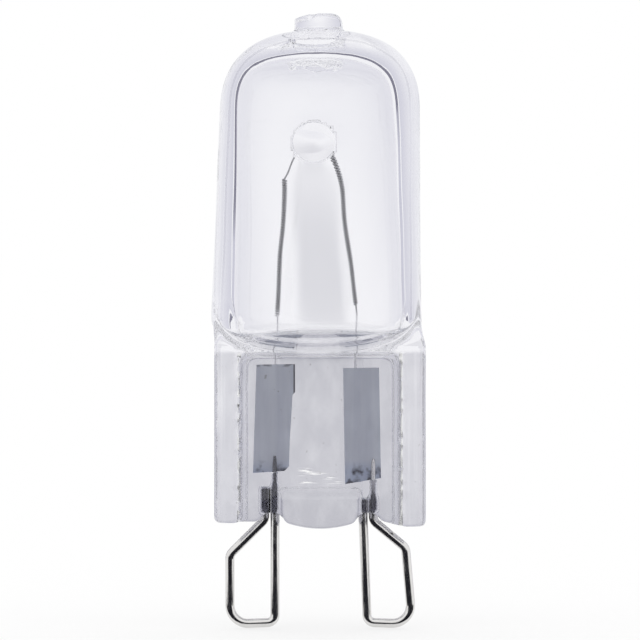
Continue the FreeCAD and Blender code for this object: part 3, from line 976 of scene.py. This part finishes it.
def build_floor():
    bpy.ops.mesh.primitive_plane_add(size=STUDIO_SIZE * MM, location=(0, 0, STUDIO_LEVEL * MM))
    floor = bpy.context.object
    floor.name = "floor"
    floor.data.materials.append(floor_material())


def card_material(name):
    """Card with a light of its own, so that what it shows stays even."""
    material, tree, shader = new_material(name)
    shader.inputs["Base Color"].default_value = (*BLACK, 1.0)
    shader.inputs["Specular IOR Level"].default_value = 0.0
    shader.inputs["Emission Strength"].default_value = 1.0
    return material, tree, shader.inputs["Emission Color"]


def plain_card(name, color):
    material, _, glow = card_material(name)
    glow.default_value = (*color, 1.0)
    return material


def toned_card(name, first, last):
    """Card that runs from one colour to another with the tone of its corners."""
    material, tree, glow = card_material(name)
    tree.links.new(mixed(tree, attribute(tree, "tone").outputs["Fac"], first, last), glow)
    return material


def build_card(name, viewer, material, corners, faces):
    """Card that only mirrors and glass see, placed from the camera."""
    mesh = bpy.data.meshes.new(name)
    mesh.from_pydata([Vector(corner) * MM for corner in corners], [], faces)
    mesh.materials.append(material)
    card = bpy.data.objects.new(name, mesh)
    bpy.context.scene.collection.objects.link(card)
    card.visible_camera = False
    card.visible_diffuse = False
    card.visible_shadow = False
    card.parent = viewer
    return card


def front_card(viewer, material):
    """Low card in front of the loops, with a strip along the floor, that darkens the wires' middle."""
    corners = []
    for height, away in ((FRONT_CARD_TOP, FRONT_CARD_AWAY), (FRONT_CARD_FOOT, FRONT_CARD_AWAY),
                         (FRONT_CARD_FOOT, FRONT_CARD_NEAR)):
        for side in (-FRONT_CARD_HALF, FRONT_CARD_HALF):
            corners.append((side, height, away - CAMERA_DISTANCE))
    card = build_card("card_front", viewer, material, corners, [(0, 1, 3, 2), (2, 3, 5, 4)])
    card.visible_transmission = False


def strip_card(name, viewer, material, rows, tones):
    """Card through rows of corners, with a tone for each corner."""
    count = len(rows[0])
    faces = []
    for row in range(len(rows) - 1):
        for step in range(count - 1):
            near = row * count + step
            faces.append((near, near + 1, near + count + 1, near + count))
    card = build_card(name, viewer, material, sum(rows, []), faces)
    tone = card.data.attributes.new("tone", "FLOAT", "POINT")
    tone.data.foreach_set("value", tones)


def arch_rows(angles):
    """Corners of an arch behind the bulb, standing on two legs, for each angle off the line of sight."""
    turns = [math.pi * step / ARCH_STEPS for step in range(ARCH_STEPS + 1)]
    rows = []
    for angle in angles:
        aside = ARCH_AWAY * math.sin(math.radians(angle))
        depth = -CAMERA_DISTANCE - ARCH_AWAY * math.cos(math.radians(angle))
        right = [(aside, height, depth) for height in LEG_HEIGHTS]
        left = [(-aside, height, depth) for height in reversed(LEG_HEIGHTS)]
        arch = [(aside * math.cos(turn), aside * math.sin(turn), depth) for turn in turns]
        rows.append(right + arch + left)
    return rows


def line_fade(corner):
    """One on the stretch of each side that the lower tube shows, zero on the rest of the arch."""
    aside, height, _ = corner
    low, high = LEFT_FADE if aside < 0 else RIGHT_FADE
    return smooth_step(low - FADE_EDGE, low, height) * smooth_step(high + FADE_EDGE, high, height)


def line_card(viewer, material):
    """Arch that draws the dark line inside the wall, fading along the lower tube."""
    rows = arch_rows(LINE_ANGLES)
    strip_card("card_line", viewer, material, rows, [line_fade(corner) for corner in sum(rows, [])])


def sweep_card(viewer, material):
    """Arch that greys the wall, more so away from the line of sight."""
    rows = arch_rows(SWEEP_ANGLES)
    tones = np.linspace(0, 1, len(rows))
    strip_card("card_sweep", viewer, material, rows, np.repeat(tones, len(rows[0])))


def squared(side):
    """Sine or cosine pushed outwards, so that a circle becomes a rounded square."""
    return math.copysign(abs(side) ** WINDOW_POWER, side)


def window_card(viewer, material):
    """Soft grey patch behind the gas space, in the middle of the tube."""
    inner, outer = np.array(WINDOW_HALVES)
    shares = np.linspace(0, 1, WINDOW_RINGS)
    halves = [(0.0, 0.0)] + [inner + share * (outer - inner) for share in shares]
    turns = [2 * math.pi * step / WINDOW_STEPS for step in range(WINDOW_STEPS + 1)]
    middle_x, middle_y = WINDOW_MIDDLE
    depth = -CAMERA_DISTANCE - WINDOW_AWAY
    rows = []
    for half_x, half_y in halves:
        rows.append([(middle_x + half_x * squared(math.cos(turn)),
                      middle_y + half_y * squared(math.sin(turn)), depth) for turn in turns])
    tones = np.append(1.0, 1 - smooth_step(0, 1, shares))
    strip_card("card_window", viewer, material, rows, np.repeat(tones, len(turns)))


def build_cards(viewer):
    front_card(viewer, plain_card("card_black", FRONT_CARD_BLACK))
    line_card(viewer, toned_card("card_violet", LINE_DARK, LINE_FADED))
    sweep_card(viewer, toned_card("card_grey", WHITE, SWEEP_GREY))
    window_card(viewer, toned_card("card_dim", WHITE, WINDOW_GREY))


def build_camera():
    camera = bpy.data.cameras.new("camera")
    camera.sensor_width = SENSOR_WIDTH
    camera.lens = SENSOR_WIDTH * CAMERA_DISTANCE / VIEW_WIDTH
    camera.clip_start = CLIP_START * MM
    viewer = bpy.data.objects.new("camera", camera)
    bpy.context.scene.collection.objects.link(viewer)
    rise = math.radians(CAMERA_ELEVATION)
    away = Vector((0, -math.cos(rise), math.sin(rise))) * CAMERA_DISTANCE * MM
    viewer.location = Vector(VIEW_MIDDLE) * MM + away
    viewer.rotation_euler = (math.pi / 2 - rise, 0, 0)
    bpy.context.scene.camera = viewer
    bpy.context.view_layer.update()
    return viewer


def join_part(piece, node, material):
    """Puts a finished piece in the place of its node."""
    piece.data.materials.append(material)
    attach(piece, "root")
    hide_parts(node)


def build_bulb():
    join_part(quartz_object(), "quartz_envelope", quartz_material())
    wire = drawn_metal("bright_wire", WIRE_DARK, WIRE_LIGHT, WIRE_ROUGHNESS, wire_sealed, SEAL_BLACK)
    join_part(left_loop(), "contact_loop_left", wire)
    join_part(right_loop(), "contact_loop_right", wire)
    foil = foil_material()
    join_part(left_foil(), "foil_left", foil)
    join_part(right_foil(), "foil_right", foil)
    tungsten = drawn_metal("tungsten", TUNGSTEN_DARK, TUNGSTEN_LIGHT, TUNGSTEN_ROUGHNESS,
                           tail_sealed, TAIL_PALE)
    join_part(filament_object(), "filament", tungsten)


def main():
    scene = bpy.context.scene
    scene.view_settings.view_transform = "Standard"
    scene.cycles.max_bounces = BOUNCES
    scene.cycles.transmission_bounces = BOUNCES
    scene.cycles.glossy_bounces = BOUNCES
    build_world()
    build_floor()
    build_cards(build_camera())
    build_bulb()


main()
